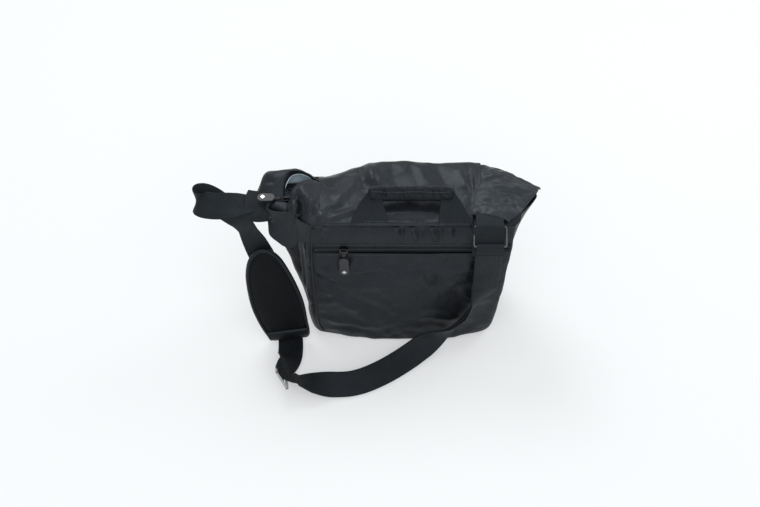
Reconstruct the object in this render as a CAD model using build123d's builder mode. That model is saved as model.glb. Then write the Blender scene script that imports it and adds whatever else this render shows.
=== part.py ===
"""A soft nylon shoulder bag: rear zip pocket, zipped main compartment under a flap, carry handle,
and a webbing shoulder strap with a pad and a tri-glide. Millimetres, +Z up, rear (pocket) face
toward -Y, origin at the middle of the base."""

from build123d import *
import math
import os

# ---------------------------------------------------------------- driving dimensions
WALL = 2.0              # coated nylon with its backing
BACK_Y = -58.0          # outside of the boxed body, behind the pocket panels
FRONT_Y = 58.0
SEAM_Z = 230.0          # rear top seam: flap, handle and pocket meet here
RIM_RISE = 10.0         # the rim stands this much higher at the front than at the rear
ROOF_DROP = 8.0         # the zipped roof lies this far below the rim
ROOF_T = 1.6
POCKET_GAP = 6.0        # room in the rear pocket
BASE_RADIUS = 32.0      # rounded lower corners
BASE_LEFT, BASE_RIGHT = -134.0, 140.0
GUSSET_SPLIT = 95.0     # seams between the bottom panel and the gussets

# Plan outline of the body, one row for each height. The corners run round the bag: rear left,
# three on the tucked left gusset, front left, front right, fold of the right gusset, rear right.
PLAN = {
    0.0: [(-122, -58), (-134, -30), (-136, -8), (-132, 36), (-118, 58), (118, 58), (138, 2), (126, -58)],
    150.0: [(-126, -58), (-166, -28), (-160, -8), (-152, 36), (-115, 58), (115, 58), (155, 2), (142, -58)],
    250.0: [(-122, -58), (-176, -26), (-172, -8), (-170, 36), (-112, 58), (112, 58), (184, 2), (146, -58)],
}

FLAP_MIDDLE, FLAP_HALF = -5.5, 99.0
FLAP_T = 2.0
DROP_Y, DROP_LOW = 61.2, 122.0
HANDLE_X = 9.0          # middle of the handle
HANDLE_LEAN = 31.0      # the handle lies back over the flap at this angle
HANDLE_REACH = 47.0     # from the seam to the middle of the grip
GRIP_LENGTH, GRIP_W, GRIP_H = 110.0, 21.0, 14.0

ZIP_Z = 190.0           # height of the pocket zip
ZIP_LEFT, ZIP_RIGHT = -118.0, 104.0
TEETH = 2.4
SLIDER = (11.0, 8.5, 3.6)
TAB_W, TAB_T = 13.0, 2.0
POCKET_TAB, MAIN_TAB = 34.0, 23.0        # lengths of the two puller tabs
POCKET_SLIDER_X = -82.0
MOUTH = {-165.0: (-16.0, 26.0), 105.0: (-2.0, 34.0)}    # rear and front edge of the roof's slot
TAPE = 10.0

STRAP_W, STRAP_T = 36.0, 1.5
LAYER_GAP = 2.6         # between the middles of the strap's two layers
RING_W, WIRE = 46.0, 3.4
RIGHT_REACH, LEFT_REACH = 26.4, 16.4     # between the middles of a ring's two long bars
LOOP_IN, LOOP_OUT = 2.2, 3.7
RIGHT_RING = Vector(112, -64, 238)      # middle of the bar held by the bag
LEFT_RING = Vector(-178, -6, 218)
PAD_LENGTH, PAD_EDGE = 166.0, 3.0

rim = Plane(
    origin=(0, 0, SEAM_Z + RIM_RISE / 2),
    x_dir=(1, 0, 0),
    z_dir=(0, -RIM_RISE / (FRONT_Y - BACK_Y), 1),
)
roof = rim.offset(-ROOF_DROP)
lean = math.radians(HANDLE_LEAN)
seam = Vector(HANDLE_X, BACK_Y - WALL, SEAM_Z + 1)
handle_plane = Plane(origin=seam, x_dir=(1, 0, 0), z_dir=(0, -math.sin(lean), math.cos(lean)))
ring_down = Vector(0, -20, -17).normalized()
pad_up = Vector(-28, 25, 162).normalized()
pad_side = (Vector(1, 0, 0) - pad_up * pad_up.X).normalized()
pad_plane = Plane(origin=(-166, -70, 11), x_dir=pad_side, z_dir=pad_side.cross(pad_up))
glide_long, glide_short = Vector(0.1, -0.76, 0.64), Vector(0.5, -0.5, -0.67)
glide = Plane(origin=(-171, -154, 26), x_dir=glide_long, z_dir=glide_long.cross(glide_short))

# Middle line of the strap and the way its face looks, from the right ring over the floor to the
# tri-glide, behind the pad, and through the stiff loop back to the left ring.
STRAP_ROUTE = [
    ((111, -85.5, 206.5), (0, -1, 0)),
    ((111.5, -83, 188), (0, -1, 0)),
    ((112.5, -79, 158), (0, -1, 0)),
    ((112, -78, 128), (0.2, -1, 0)),
    ((105, -81, 102), (0.55, -0.8, -0.2)),
    ((92, -85, 80), (0.7, -0.65, -0.25)),
    ((75, -87, 57), (0.6, -0.75, -0.2)),
    ((54, -88, 36), (0.35, -0.85, 0.15)),
    ((31, -96, 22), (0.05, -0.75, 0.55)),
    ((4, -114, 14), (-0.05, -0.65, 0.75)),
    ((-30, -138, 13), (-0.05, -0.6, 0.8)),
    ((-66, -156, 13), (0, -0.6, 0.8)),
    ((-98, -160, 15), (0, -0.55, 0.8)),
    ((-126, -158, 19), (0, 0.1, 1)),
    ((-149, -157, 24), (0, 0.6, 0.8)),
    ((-165, -151, 27), (0.4, 0.5, 0.8)),
    ((-168, -133, 22), (0.9, 0, 0.4)),
    ((-164, -115, 13), (0.5, 0, 0.9)),
    ((-163, -95, 5), (0, 0.2, 1)),
    ((-164, -75, 3), (0, 0, 1)),
    ((-166, -60.5, 7.5), (0, -0.8, 0.6)),
    ((-171.5, -57, 34), (0, -1, 0.15)),
    ((-178.5, -50, 79), (0, -1, 0.15)),
    ((-187.5, -43.5, 130), (0, -1, 0.15)),
    ((-199, -38, 158), (0.1, -1, 0.15)),
    ((-206, -34, 178), (-0.15, -1, 0.15)),
    ((-213, -30, 195), (-0.5, -0.85, 0.2)),
    ((-223, -25, 209), (-0.5, -0.8, 0.35)),
    ((-237, -17, 219), (-0.3, -0.8, 0.5)),
    ((-252, -10, 227), (0, -0.85, 0.5)),
    ((-265, -6, 235), (0.05, -0.85, 0.5)),
    ((-276, -8, 240.5), (0.4, -0.8, 0.4)),
    ((-281, -14.5, 241), (1, -0.1, 0.1)),
    ((-276, -21, 238), (0.5, 0.6, -0.6)),
    ((-264, -23, 235.5), (0, 0.7, -0.7)),
    ((-248, -22, 233.5), (0, 0.7, -0.7)),
    ((-233, -18, 231.5), (0, 0.5, -0.85)),
    ((-220, -12, 229), (0, 0.2, -1)),
    ((-209, -7, 224.5), (0, 0, -1)),
]
RETURN_POINTS = 15      # the second layer keeps under the first up to here


def finish(piece, name):
    """Label a finished piece and write it to its own file."""
    piece.part.label = name
    export_step(piece.part, f"parts/{name}.step")


def body_form(inset):
    """The space inside the body, its sides and base moved in by inset, up to the sloping rim."""
    with BuildPart() as form:
        for height, corners in PLAN.items():
            with BuildSketch(Plane.XY.offset(max(height, inset))):
                with BuildLine():
                    Polyline(*[(x - math.copysign(inset, x), y) for x, y in corners], close=True)
                make_face()
        loft(ruled=True)
        split(bisect_by=rim, keep=Keep.BOTTOM)
        with BuildSketch(Plane.XZ) as profile:
            with BuildLine():
                Polyline(
                    (BASE_LEFT + inset, inset), (-230, 320), (230, 320), (BASE_RIGHT - inset, inset),
                    close=True,
                )
            make_face()
            fillet(profile.vertices().group_by(Axis.Y)[0], BASE_RADIUS - inset)
        extrude(amount=90, both=True, mode=Mode.INTERSECT)
    return form.part


def across(form, near_y, far_y):
    """The slice of a form between two upright planes across the bag."""
    with BuildPart() as cut:
        add(form)
        split(bisect_by=Plane.XZ.offset(-near_y), keep=Keep.BOTTOM)
        split(bisect_by=Plane.XZ.offset(-far_y), keep=Keep.TOP)
    return cut.part


def block(plane, x_range, y_range, z_range):
    """A plain box between three pairs of bounds in a plane's own directions."""
    with BuildPart() as box:
        with BuildSketch(plane.offset(z_range[0])):
            with Locations(((x_range[0] + x_range[1]) / 2, (y_range[0] + y_range[1]) / 2)):
                Rectangle(x_range[1] - x_range[0], y_range[1] - y_range[0])
        extrude(amount=z_range[1] - z_range[0])
    return box


def plate(plane, points, z_range):
    """A flat sheet with a straight-sided outline."""
    with BuildPart() as sheet:
        with BuildSketch(plane.offset(z_range[0])):
            with BuildLine():
                Polyline(*points, close=True)
            make_face()
        extrude(amount=z_range[1] - z_range[0])
    return sheet


os.makedirs("parts", exist_ok=True)

# ---------------------------------------------------------------- body
outer = body_form(0)
inside = body_form(WALL)
hollow = body_form(WALL + 0.8)
under_roof = roof.offset(-ROOF_T)

with BuildPart() as front_panel:
    add(across(outer, FRONT_Y - WALL, FRONT_Y))
finish(front_panel, "front_panel")

with BuildPart() as band:
    add(across(outer, BACK_Y, FRONT_Y - WALL))
    add(inside, mode=Mode.SUBTRACT)
for name, sides in {
    "bottom_panel": ((-GUSSET_SPLIT, Keep.TOP), (GUSSET_SPLIT, Keep.BOTTOM)),
    "left_gusset": ((-GUSSET_SPLIT, Keep.BOTTOM),),
    "right_gusset": ((GUSSET_SPLIT, Keep.TOP),),
}.items():
    with BuildPart() as panel:
        add(band.part)
        for x, side in sides:
            split(bisect_by=Plane.YZ.offset(x), keep=side)
        if name == "left_gusset":
            split(bisect_by=roof, keep=Keep.BOTTOM)
    finish(panel, name)

pocket_back_y = BACK_Y + POCKET_GAP
with BuildPart() as rear_panel:
    add(across(inside, pocket_back_y, pocket_back_y + WALL))
    split(bisect_by=under_roof, keep=Keep.BOTTOM)
finish(rear_panel, "rear_panel")

lining_y = pocket_back_y + WALL
with BuildPart() as lining:
    add(across(inside, lining_y, FRONT_Y - WALL))
    add(across(hollow, lining_y + 0.8, FRONT_Y - WALL - 0.8), mode=Mode.SUBTRACT)
    split(bisect_by=under_roof, keep=Keep.BOTTOM)
finish(lining, "lining")

stiffener = block(Plane.XY, (-94, 94), (lining_y + 3, FRONT_Y - WALL - 3), (WALL + 0.8, WALL + 2.8))
finish(stiffener, "base_stiffener")

# ---------------------------------------------------------------- roof and main zip
(mouth_left, (rear_l, front_l)), (mouth_right, (rear_r, front_r)) = MOUTH.items()
left_middle, right_middle = (rear_l + front_l) / 2, (rear_r + front_r) / 2
for name, side in (("roof_rear", -1), ("roof_front", 1)):
    with BuildPart() as half:
        add(across(inside, BACK_Y, FRONT_Y - WALL))
        split(bisect_by=roof, keep=Keep.BOTTOM)
        split(bisect_by=under_roof, keep=Keep.TOP)
        with BuildSketch(under_roof.offset(-5)):
            with BuildLine():
                Polyline(
                    (mouth_left, rear_l), (mouth_right, rear_r),
                    (mouth_right, front_r), (mouth_left, front_l), close=True,
                )
            make_face()
        extrude(amount=12, mode=Mode.SUBTRACT)
        with BuildSketch(under_roof.offset(-5)):
            with BuildLine():
                Polyline(
                    (-230, left_middle), (mouth_left, left_middle), (mouth_right, right_middle),
                    (230, right_middle), (230, side * 90), (-230, side * 90), close=True,
                )
            make_face()
        extrude(amount=12, mode=Mode.INTERSECT)
    finish(half, name)

for name, side, at_left, at_right in (("rear", 1, rear_l, rear_r), ("front", -1, front_l, front_r)):
    tape = plate(
        roof,
        [(mouth_left, at_left), (mouth_right, at_right), (mouth_right, at_right + side * TAPE),
         (mouth_left, at_left + side * TAPE)],
        (-1.4, -0.2),
    )
    finish(tape, f"main_zip_tape_{name}")
    near, far = side * TAPE, side * (TAPE + TEETH)
    teeth = plate(
        roof,
        [(mouth_left, at_left + near), (mouth_right, at_right + near), (mouth_right, at_right + far),
         (mouth_left, at_left + far)],
        (-1.8, 0.6),
    )
    finish(teeth, f"main_zip_teeth_{name}")

with BuildPart() as main_stops:
    add(block(roof, (mouth_right + 1, mouth_right + 5), (right_middle - 5, right_middle + 5), (0, 1.6)).part)
    add(block(roof, (mouth_left - 3.6, mouth_left - 0.6), (rear_l + 8, rear_l + 16), (0, 1.6)).part)
finish(main_stops, "main_zip_stops")


def slider_body(plane, name):
    """A zip slider lying on a plane over the teeth, its long side along x, with a bail on top."""
    length, width, height = SLIDER
    with BuildPart() as body:
        with BuildSketch(plane):
            RectangleRounded(length, width, 2)
        extrude(amount=height)
        with BuildSketch(plane.offset(height)):
            Rectangle(8.4, 2.4)
        extrude(amount=2.4)
        with BuildSketch(Plane(origin=plane.origin, x_dir=plane.x_dir, z_dir=-plane.y_dir)):
            with Locations((0, height + 0.8)):
                Rectangle(5.0, 1.4)
        extrude(amount=5, both=True, mode=Mode.SUBTRACT)
    finish(body, name)


def pull(plane, tab_length, prefix):
    """A puller link, a rounded tab and its rivet, hanging along -y of a plane from its origin."""
    with BuildPart() as link:
        with BuildSketch(plane):
            with Locations((0, -5.5)):
                SlotCenterToCenter(9, 4.4, rotation=90)
            with Locations((0, -1.4)):
                Rectangle(1.8, 3.4, mode=Mode.SUBTRACT)
        extrude(amount=1.0)
    finish(link, f"{prefix}_pull_link")
    top = -10.0
    with BuildPart() as tab:
        with BuildSketch(plane.offset(1.0)):
            with Locations((0, top - tab_length / 2)):
                RectangleRounded(TAB_W, tab_length, TAB_W / 2 - 0.6)
        extrude(amount=TAB_T)
    finish(tab, f"{prefix}_pull_tab")
    with BuildPart() as rivet:
        with BuildSketch(plane.offset(1.0 + TAB_T)):
            with Locations((0, top - tab_length + 7)):
                Rectangle(4.6, 4.6, rotation=45)
        extrude(amount=0.8)
    finish(rivet, f"{prefix}_pull_rivet")


slide_start = (mouth_left + 5, rear_l + TAPE + TEETH / 2)
slide_end = (mouth_right, rear_r + TAPE + TEETH / 2)
run = Vector(slide_end[0] - slide_start[0], slide_end[1] - slide_start[1], 0)
slide_axis = (roof.x_dir * run.X + roof.y_dir * run.Y).normalized()
slider_plane = Plane(
    origin=roof.from_local_coords(Vector(*slide_start, 1.0)), x_dir=slide_axis, z_dir=roof.z_dir
)
slider_body(slider_plane, "main_zip_slider")
main_pull_plane = Plane(
    origin=roof.from_local_coords(Vector(slide_start[0] - 5.8, slide_start[1] - 1.5, 6.2)),
    x_dir=-roof.y_dir,
    z_dir=roof.z_dir,
)
pull(main_pull_plane, MAIN_TAB, "main")

# ---------------------------------------------------------------- rear pocket
rear = Plane.XZ.offset(-BACK_Y)
with BuildPart() as pocket_lower:
    with BuildSketch(rear) as face:
        with BuildLine():
            Polyline(
                (-122, 0), (-126, 150), (-124.7, ZIP_Z - 7), (143.3, ZIP_Z - 7), (142, 150), (126, 0),
                close=True,
            )
        make_face()
        fillet(face.vertices().group_by(Axis.Y)[0], BASE_RADIUS)
    extrude(amount=WALL)
finish(pocket_lower, "pocket_panel_lower")
pocket_upper = plate(
    rear, [(-124.1, ZIP_Z + 7), (-122.8, SEAM_Z), (145.2, SEAM_Z), (143.9, ZIP_Z + 7)], (0, WALL)
)
finish(pocket_upper, "pocket_panel_upper")

with BuildPart() as pocket_tapes:
    for low, high in ((ZIP_Z - 7, ZIP_Z - TEETH / 2), (ZIP_Z + TEETH / 2, ZIP_Z + 7)):
        add(block(rear, (-124, 143), (low, high), (0.4, 1.6)).part)
finish(pocket_tapes, "pocket_zip_tapes")
pocket_teeth = block(rear, (ZIP_LEFT, ZIP_RIGHT), (ZIP_Z - TEETH / 2, ZIP_Z + TEETH / 2), (0.2, 2.4))
finish(pocket_teeth, "pocket_zip_teeth")
with BuildPart() as pocket_stops:
    for x in (ZIP_LEFT - 2.5, ZIP_RIGHT):
        add(block(rear, (x, x + 2.5), (ZIP_Z - TEETH / 2, ZIP_Z + TEETH / 2), (0.2, 2.8)).part)
finish(pocket_stops, "pocket_zip_stops")
on_teeth = rear.offset(2.8)
slider_body(Plane(origin=on_teeth.from_local_coords(Vector(POCKET_SLIDER_X, ZIP_Z, 0)),
                  x_dir=rear.x_dir, z_dir=rear.z_dir), "pocket_zip_slider")
under_bail = on_teeth.from_local_coords(Vector(POCKET_SLIDER_X, ZIP_Z - 1.6, 3.8))
pull(Plane(origin=under_bail, x_dir=rear.x_dir, z_dir=rear.z_dir), POCKET_TAB, "pocket")

# ---------------------------------------------------------------- flap and handle
across_flap = Plane.YZ.offset(FLAP_MIDDLE)
with BuildPart() as flap_top:
    with BuildSketch(across_flap):
        with BuildLine():
            under = ThreePointArc((-54, 230.6), (0, 239), (50.8, 243.4))
            Line(under @ 1, (50.8, 243.4 + FLAP_T))
            over = ThreePointArc((50.8, 243.4 + FLAP_T), (0, 239 + FLAP_T), (-54, 230.6 + FLAP_T))
            Line(over @ 1, under @ 0)
        make_face()
    extrude(amount=FLAP_HALF, both=True)
finish(flap_top, "flap_top")

with BuildPart() as flap_drop:
    with BuildSketch(across_flap):
        with BuildLine():
            middle_y = DROP_Y + FLAP_T / 2
            FilletPolyline((55, 244.6), (middle_y, 242.5), (middle_y, DROP_LOW), radius=4)
        trace(line_width=FLAP_T)
    extrude(amount=FLAP_HALF, both=True)
finish(flap_drop, "flap_drop")
for name, y in (("flap_hook_strip", DROP_Y), ("front_loop_strip", FRONT_Y + 1.4)):
    strip = block(Plane.XZ.offset(-y), (-40, 40), (130, 150), (0, 1.4))
    finish(strip, name)

with BuildPart() as handle_webbing:
    with BuildSketch(handle_plane.offset(-1)):
        for side in (-1, 1):
            with BuildLine():
                Polyline(
                    (side * 33, 5), (side * 79.5, 5), (side * 57, HANDLE_REACH - GRIP_W / 2),
                    (side * 33, HANDLE_REACH - GRIP_W / 2), close=True,
                )
            make_face()
    extrude(amount=2)
finish(handle_webbing, "handle_webbing")
grip_end = Plane(
    origin=handle_plane.from_local_coords(Vector(0, HANDLE_REACH, 0)),
    x_dir=handle_plane.y_dir,
    z_dir=(1, 0, 0),
)
with BuildPart() as handle_core:
    with BuildSketch(grip_end):
        RectangleRounded(GRIP_W - 4, GRIP_H - 4, 4)
    extrude(amount=GRIP_LENGTH / 2 - 3, both=True)
finish(handle_core, "handle_core")
with BuildPart() as handle_grip:
    with BuildSketch(grip_end):
        RectangleRounded(GRIP_W, GRIP_H, 6)
    extrude(amount=GRIP_LENGTH / 2, both=True)
    add(handle_core.part, mode=Mode.SUBTRACT)
finish(handle_grip, "handle_grip")

# ---------------------------------------------------------------- wings, anchors and rings
right_wing = plate(rim, [(114, 55), (183, 2), (145.5, -57), (114, -57)], (0, 2))
finish(right_wing, "right_wing")
left_wing = plate(roof, [(-194, 40), (-170, 40), (-170, -10), (-172, -25), (-194, -25)], (0, 2))
finish(left_wing, "left_wing")
right_patch = block(rim, (110, 146), (-26, 6), (2, 3.2))
finish(right_patch, "right_anchor_patch")
facet = Plane(origin=(-166, -28, 150), x_dir=(40, -30, 0), z_dir=(-30, -40, -2.2))
with BuildPart() as left_patch:
    with BuildSketch(facet.offset(0.2)):
        with BuildLine():
            Polyline((0, 72), (40, 70), (39, 50), (28, 22), (18, 20), (1, 26), close=True)
        make_face()
    extrude(amount=1.4)
finish(left_patch, "left_anchor_patch")


def webbing_loop(middle, toward, reach, along_bar, name):
    """A band of webbing folded round a ring's bar, drawn in the plane across the bar."""
    across_bar = Plane(origin=middle, x_dir=toward, z_dir=along_bar)
    with BuildPart() as loop:
        with BuildSketch(across_bar):
            with Locations((reach / 2, 0)):
                SlotCenterToCenter(reach, 2 * LOOP_OUT)
                SlotCenterToCenter(reach, 2 * LOOP_IN, mode=Mode.SUBTRACT)
        extrude(amount=STRAP_W / 2, both=True)
    finish(loop, name)


def wire_ring(held_bar, across_ring, along_bar, reach, name):
    """A rectangular wire ring; held_bar is the middle of the bar that the bag holds."""
    frame = Plane(origin=held_bar, x_dir=along_bar, z_dir=along_bar.cross(across_ring))
    half = (RING_W - WIRE) / 2
    with BuildPart() as ring:
        with BuildLine(frame) as centre:
            FilletPolyline((-half, 0), (half, 0), (half, reach), (-half, reach), radius=3, close=True)
        with BuildSketch(Plane(origin=centre.line @ 0, z_dir=centre.line % 0)):
            Circle(WIRE / 2)
        sweep(path=centre.line)
    finish(ring, name)


along_x, along_y = Vector(1, 0, 0), Vector(0, 1, 0)
wire_ring(RIGHT_RING, ring_down, along_x, RIGHT_REACH, "right_ring")
webbing_loop(RIGHT_RING, along_y, 24, along_x, "right_anchor_loop")
webbing_loop(RIGHT_RING + ring_down * RIGHT_REACH, Vector(0, -0.05, -1), 9, along_x, "right_strap_end")
wire_ring(LEFT_RING, -along_x, along_y, LEFT_REACH, "left_ring")
webbing_loop(LEFT_RING - along_x * LEFT_REACH, -along_x, 7, along_y, "left_strap_end")
with BuildPart() as left_anchor_loop:
    with BuildSketch(Plane(origin=LEFT_RING, x_dir=along_x, z_dir=-along_y)):
        Circle(LOOP_OUT)
        with Locations((-LOOP_OUT + 0.75, 6)):
            Rectangle(1.5, 12)
        Circle(LOOP_IN, mode=Mode.SUBTRACT)
    extrude(amount=STRAP_W / 2, both=True)
    split(bisect_by=roof, keep=Keep.BOTTOM)
finish(left_anchor_loop, "left_anchor_loop")

# ---------------------------------------------------------------- shoulder strap


def corner_radii(points):
    """For each inner point, the largest arc that its two runs allow."""
    radii = []
    for before, here, after in zip(points, points[1:], points[2:]):
        first, second = here - before, after - here
        half_turn = math.radians(first.get_angle(second)) / 2
        radii.append(0.45 * min(first.length, second.length) / math.tan(half_turn))
    return radii


def webbing(route, name):
    """A flat strap: rectangles across a path of straight runs and tangent arcs, lofted in order."""
    points = [Vector(*point) for point, _ in route]
    faces = [Vector(*look).normalized() for _, look in route]
    radii = corner_radii(points)
    print(name, "radii", [round(radius) for radius in radii])
    edges = FilletPolyline(*points, radius=radii).edges()
    stations = []
    for number, edge in enumerate(edges):
        if number % 2:                      # an arc, rounding point k
            k = (number + 1) // 2
            stations += [(edge, 0, k - 0.25), (edge, 0.5, k)]
        else:                               # a run, from point k to the next
            k = number // 2
            stations += [(edge, 0, k + 0.25 if k else 0), (edge, 0.5, k + 0.5)]
    stations.append((edges[-1], 1, len(points) - 1))
    with BuildPart() as strap:
        for edge, t, place in stations:
            before = min(int(place), len(faces) - 2)
            look = faces[before] + (faces[before + 1] - faces[before]) * (place - before)
            way = edge % t
            with BuildSketch(Plane(origin=edge @ t, x_dir=way.cross(look), z_dir=way)):
                Rectangle(STRAP_W, STRAP_T)
        loft(ruled=True)
    length = sum(edge.length for edge in edges)
    ratio = strap.part.volume / (length * STRAP_W * STRAP_T)
    print(name, "length", round(length), "volume ratio", round(ratio, 3))
    finish(strap, name)


webbing(STRAP_ROUTE, "strap_webbing")
second_layer = []
for point, look in STRAP_ROUTE[:RETURN_POINTS]:
    second_layer.append((Vector(*point) - Vector(*look).normalized() * LAYER_GAP, look))
webbing([(tuple(point), look) for point, look in second_layer], "strap_return")

with BuildPart() as tri_glide:
    with BuildSketch(glide):
        RectangleRounded(46, 30, 4)
        with Locations((0, 7.25), (0, -7.25)):
            Rectangle(38, 8.5, mode=Mode.SUBTRACT)
    extrude(amount=1.5, both=True)
finish(tri_glide, "tri_glide")

# ---------------------------------------------------------------- shoulder pad


def pad_layer(inset, z_range, name, ring=None):
    """One layer of the pad; with ring set, only its rim of that width."""
    with BuildPart() as layer:
        with BuildSketch(pad_plane.offset(z_range[0])):
            with BuildLine():
                right = ThreePointArc((27, 0), (32, 62), (20, 140))
                crown = ThreePointArc(right @ 1, (-2, PAD_LENGTH), (-27, 138))
                left = ThreePointArc(crown @ 1, (-38, 70), (-25, 0))
                Line(left @ 1, right @ 0)
            make_face()
            if inset:
                offset(amount=-inset, mode=Mode.REPLACE)
            if ring:
                offset(amount=-ring, mode=Mode.SUBTRACT)
        extrude(amount=z_range[1] - z_range[0])
    finish(layer, name)


pad_layer(0, (-6, 5), "pad_piping", ring=PAD_EDGE)
pad_layer(PAD_EDGE, (-6, -4.5), "pad_back")
pad_layer(PAD_EDGE, (-4.5, 3.5), "pad_foam")
pad_layer(PAD_EDGE, (3.5, 5), "pad_mesh_face")
pad_binding = block(pad_plane, (-26, 28), (0, 14), (5, 6))
finish(pad_binding, "pad_end_binding")
with BuildPart() as pad_sleeve:
    for y in (30, 122):
        with BuildSketch(pad_plane.offset(-6)):
            with Locations((-1, y)):
                Rectangle(44, 12)
        extrude(amount=-6)
        with BuildSketch(pad_plane.offset(-6)):
            with Locations((-1, y)):
                Rectangle(39, 12)
        extrude(amount=-4.6, mode=Mode.SUBTRACT)
finish(pad_sleeve, "pad_sleeve")
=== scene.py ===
"""A soft black nylon shoulder bag standing on a pale floor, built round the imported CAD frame.
Lengths in the tables below are millimetres; MM turns them into Blender's metres."""

import bpy
import math
import numpy as np
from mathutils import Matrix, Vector, noise


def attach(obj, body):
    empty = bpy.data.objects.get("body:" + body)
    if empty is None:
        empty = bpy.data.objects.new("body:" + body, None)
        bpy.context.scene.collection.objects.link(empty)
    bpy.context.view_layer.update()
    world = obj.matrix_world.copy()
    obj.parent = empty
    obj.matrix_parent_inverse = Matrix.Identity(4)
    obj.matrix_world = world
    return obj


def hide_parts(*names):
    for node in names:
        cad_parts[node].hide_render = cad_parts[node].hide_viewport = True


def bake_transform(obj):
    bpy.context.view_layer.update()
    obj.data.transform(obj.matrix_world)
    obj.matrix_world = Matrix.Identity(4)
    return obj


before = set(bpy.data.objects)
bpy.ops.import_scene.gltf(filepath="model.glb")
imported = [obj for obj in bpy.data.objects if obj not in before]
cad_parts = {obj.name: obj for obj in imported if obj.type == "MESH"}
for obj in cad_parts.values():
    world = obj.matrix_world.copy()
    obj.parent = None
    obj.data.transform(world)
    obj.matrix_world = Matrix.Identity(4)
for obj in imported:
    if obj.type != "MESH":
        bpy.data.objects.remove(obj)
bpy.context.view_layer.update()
MM = 0.001


def add_object(name, data):
    piece = bpy.data.objects.new(name, data)
    bpy.context.scene.collection.objects.link(piece)
    return piece


# ------------ camera
CAMERA_PLACE = (-0.033, -1.028, 1.256)
CAMERA_DIP = 48
SENSOR, LENS = 36, 50.5
camera = add_object("camera", bpy.data.cameras.new("camera"))
camera.location = CAMERA_PLACE
camera.rotation_euler = (math.radians(90 - CAMERA_DIP), 0, 0)
camera.data.sensor_width = SENSOR
camera.data.lens = LENS
bpy.context.scene.camera = camera


# ------------ mesh helpers
def mesh_object(name, points, faces, weave=None):
    """A smooth-shaded mesh from points in mm, with the cloth's own flat coordinates in metres."""
    mesh = bpy.data.meshes.new(name)
    mesh.from_pydata([tuple(p) for p in np.asarray(points) * MM], [], faces)
    mesh.shade_smooth()
    if weave is not None:
        layer = mesh.attributes.new("weave", "FLOAT_VECTOR", "POINT")
        layer.data.foreach_set("vector", (np.asarray(weave) * MM).ravel())
    mesh.validate()
    return add_object(name, mesh)


def spline(values, count, closed=False):
    """Catmull-Rom through the first axis of an array, in even steps of its rows."""
    values = np.asarray(values, float)
    n = len(values)
    if closed:
        at = np.linspace(0, n, count, endpoint=False)
        pick = lambda k: values[k % n]
    else:
        at = np.linspace(0, n - 1, count)
        ends = np.concatenate([[2 * values[0] - values[1]], values, [2 * values[-1] - values[-2]]])
        pick = lambda k: ends[np.clip(k + 1, 0, n + 1)]
    k = np.minimum(np.floor(at).astype(int), n - 1 if closed else n - 2)
    t = (at - k).reshape(-1, *[1] * (values.ndim - 1))
    a, b, c, d = pick(k - 1), pick(k), pick(k + 1), pick(k + 2)
    return 0.5 * (2 * b + (c - a) * t + (2 * a - 5 * b + 4 * c - d) * t**2 + (3 * b - a - 3 * c + d) * t**3)


def surface(rows, along, across, closed=False):
    """A smooth grid through rows of control points; closed joins the last column to the first."""
    grid = spline(np.asarray(rows, float), along)
    return spline(grid.swapaxes(0, 1), across, closed).swapaxes(0, 1)


def normals(grid, closed=False):
    if closed:
        wide = np.concatenate([grid[:, -1:], grid, grid[:, :1]], axis=1)
        along_u = np.gradient(wide, axis=1)[:, 1:-1]
    else:
        along_u = np.gradient(grid, axis=1)
    along_v = np.gradient(grid, axis=0)
    cross = np.cross(along_u, along_v)
    return cross / np.maximum(np.linalg.norm(cross, axis=2, keepdims=True), 1e-9)


def fold(points, a, b, width, height):
    """A soft ridge (or, with a negative height, a crease) along the segment a-b."""
    a, b = np.asarray(a, float), np.asarray(b, float)
    run = b - a
    t = np.clip((points - a) @ run / (run @ run), 0, 1)
    off = np.linalg.norm(points - a - t[..., None] * run, axis=-1)
    fade = np.clip(5 * t * (1 - t), 0.25, 1)
    return height * fade * np.exp(-((off / width) ** 2))


def crumple(points, size, height, seed=0.0):
    """Smooth, repeatable unevenness of a given size."""
    flat = points.reshape(-1, 3) / size + seed
    values = np.array([noise.noise(Vector(p)) for p in flat])
    return height * values.reshape(points.shape[:-1])


def wrinkled(grid, folds, noise_terms, closed=False, keep=None):
    """The grid pushed along its normals by folds and unevenness; keep fades the push (0 to 1)."""
    push = np.zeros(grid.shape[:2])
    for a, b, width, height in folds:
        push += fold(grid, a, b, width, height)
    for size, height, seed in noise_terms:
        push += crumple(grid, size, height, seed)
    if keep is not None:
        push *= keep
    return grid + normals(grid, closed) * push[..., None]


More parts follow.
